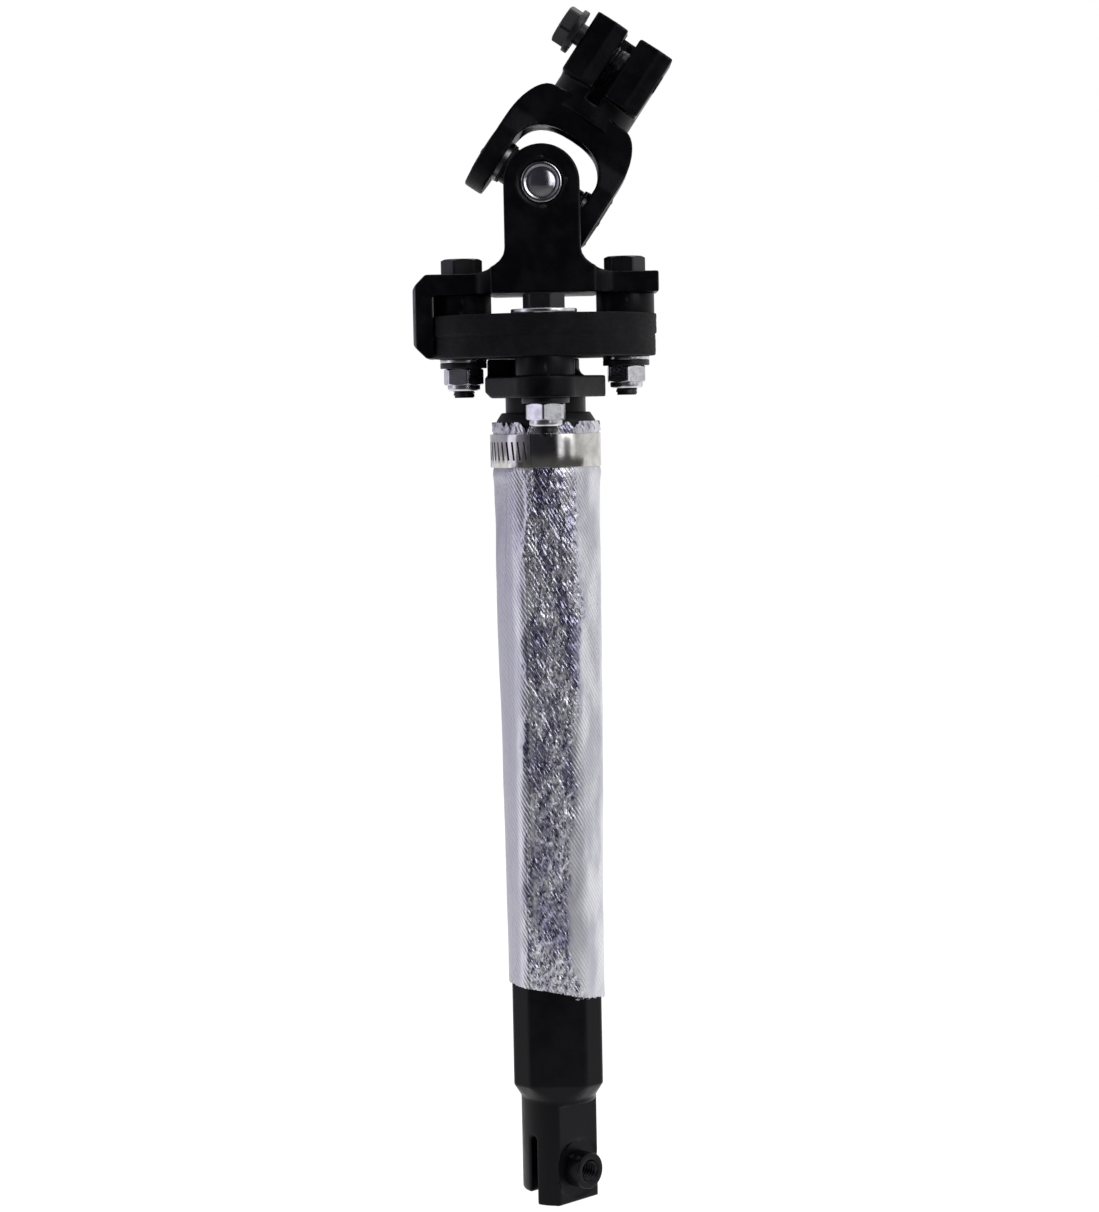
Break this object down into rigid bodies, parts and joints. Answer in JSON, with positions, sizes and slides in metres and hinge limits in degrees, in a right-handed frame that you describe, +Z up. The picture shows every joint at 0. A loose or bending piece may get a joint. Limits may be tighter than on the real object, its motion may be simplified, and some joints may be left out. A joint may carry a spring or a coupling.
{
  "type": "lower steering column",
  "caption": "Telescoping lower steering shaft with a flexible disc coupling, a foil heat shield, a universal joint and clamp sockets at both ends.",
  "frame": {"origin": "on the shaft's axis at the mouth of the lower clamp socket", "axes": "+Z up the shaft towards the disc coupling, +X to the right and +Y away from the viewer as pictured; the upper fork is stored tilted 34 degrees towards +X"},
  "size_m": [0.0932, 0.081, 0.4262],
  "materials": {
    "black_steel": "semi-gloss black coating, slightly worn on its edges",
    "dark_hardware": "phosphated black steel",
    "plated_hardware": "zinc plated, a little dull",
    "nylon": "natural nylon",
    "bearing_steel": "ground bright steel",
    "rubber_seal": "matt black rubber",
    "disc_rubber": "fabric-reinforced rubber, matt, with a seam at mid height",
    "foil_cloth": "aluminium-faced glass cloth, crinkled",
    "clamp_steel": "stainless band, satin"
  },
  "bodies": {
    "lower_tube": {"outer_tube": "black_steel", "pinch_nut": "black_steel", "dust_seal": "rubber_seal", "heat_shield": "foil_cloth", "clamp_band": "clamp_steel", "clamp_housing": "clamp_steel", "clamp_screw": "clamp_steel"},
    "coupling": {"inner_shaft": "black_steel", "slide_bush": "nylon", "lower_flange": "black_steel", "coupling_disc": "disc_rubber", "spacer_left": "dark_hardware", "spacer_right": "dark_hardware", "spacer_front": "dark_hardware", "spacer_rear": "dark_hardware", "bolt_left": "dark_hardware", "bolt_right": "dark_hardware", "bolt_front": "dark_hardware", "bolt_rear": "dark_hardware", "broad_washer_front": "plated_hardware", "broad_washer_rear": "plated_hardware", "bright_washer_left": "plated_hardware", "bright_washer_right": "plated_hardware", "dark_washer_left": "dark_hardware", "dark_washer_right": "dark_hardware", "dark_washer_front": "dark_hardware", "dark_washer_rear": "dark_hardware", "nut_left": "plated_hardware", "nut_right": "plated_hardware", "nut_front": "plated_hardware", "nut_rear": "plated_hardware", "nylon_left": "nylon", "nylon_right": "nylon", "nylon_front": "nylon", "nylon_rear": "nylon", "strap_yoke": "black_steel", "cup_front": "bearing_steel", "cup_rear": "bearing_steel", "ring_front": "rubber_seal", "ring_rear": "rubber_seal", "strap_needles": "bearing_steel"},
    "cross": {"cross": "bearing_steel"},
    "fork": {"upper_fork": "black_steel", "cup_left": "bearing_steel", "cup_right": "bearing_steel", "ring_left": "rubber_seal", "ring_right": "rubber_seal", "fork_needles": "bearing_steel", "clamp_bolt": "dark_hardware", "clamp_washer": "dark_hardware"}
  },
  "joints": [
    {"name": "shaft_slide", "type": "slide", "parent": "lower_tube", "child": "coupling", "axis": [0, 0, 1], "range_m": [-0.003, 0.02]},
    {"name": "strap_hinge", "type": "hinge", "parent": "coupling", "child": "cross", "pos_m": [0, 0, 0.3648], "axis": [0, 1, 0], "range_deg": [-70, 2]},
    {"name": "fork_hinge", "type": "hinge", "parent": "cross", "child": "fork", "pos_m": [0, 0, 0.3648], "axis": [0.829, 0, -0.5592], "range_deg": [-22, 22]}
  ]
}
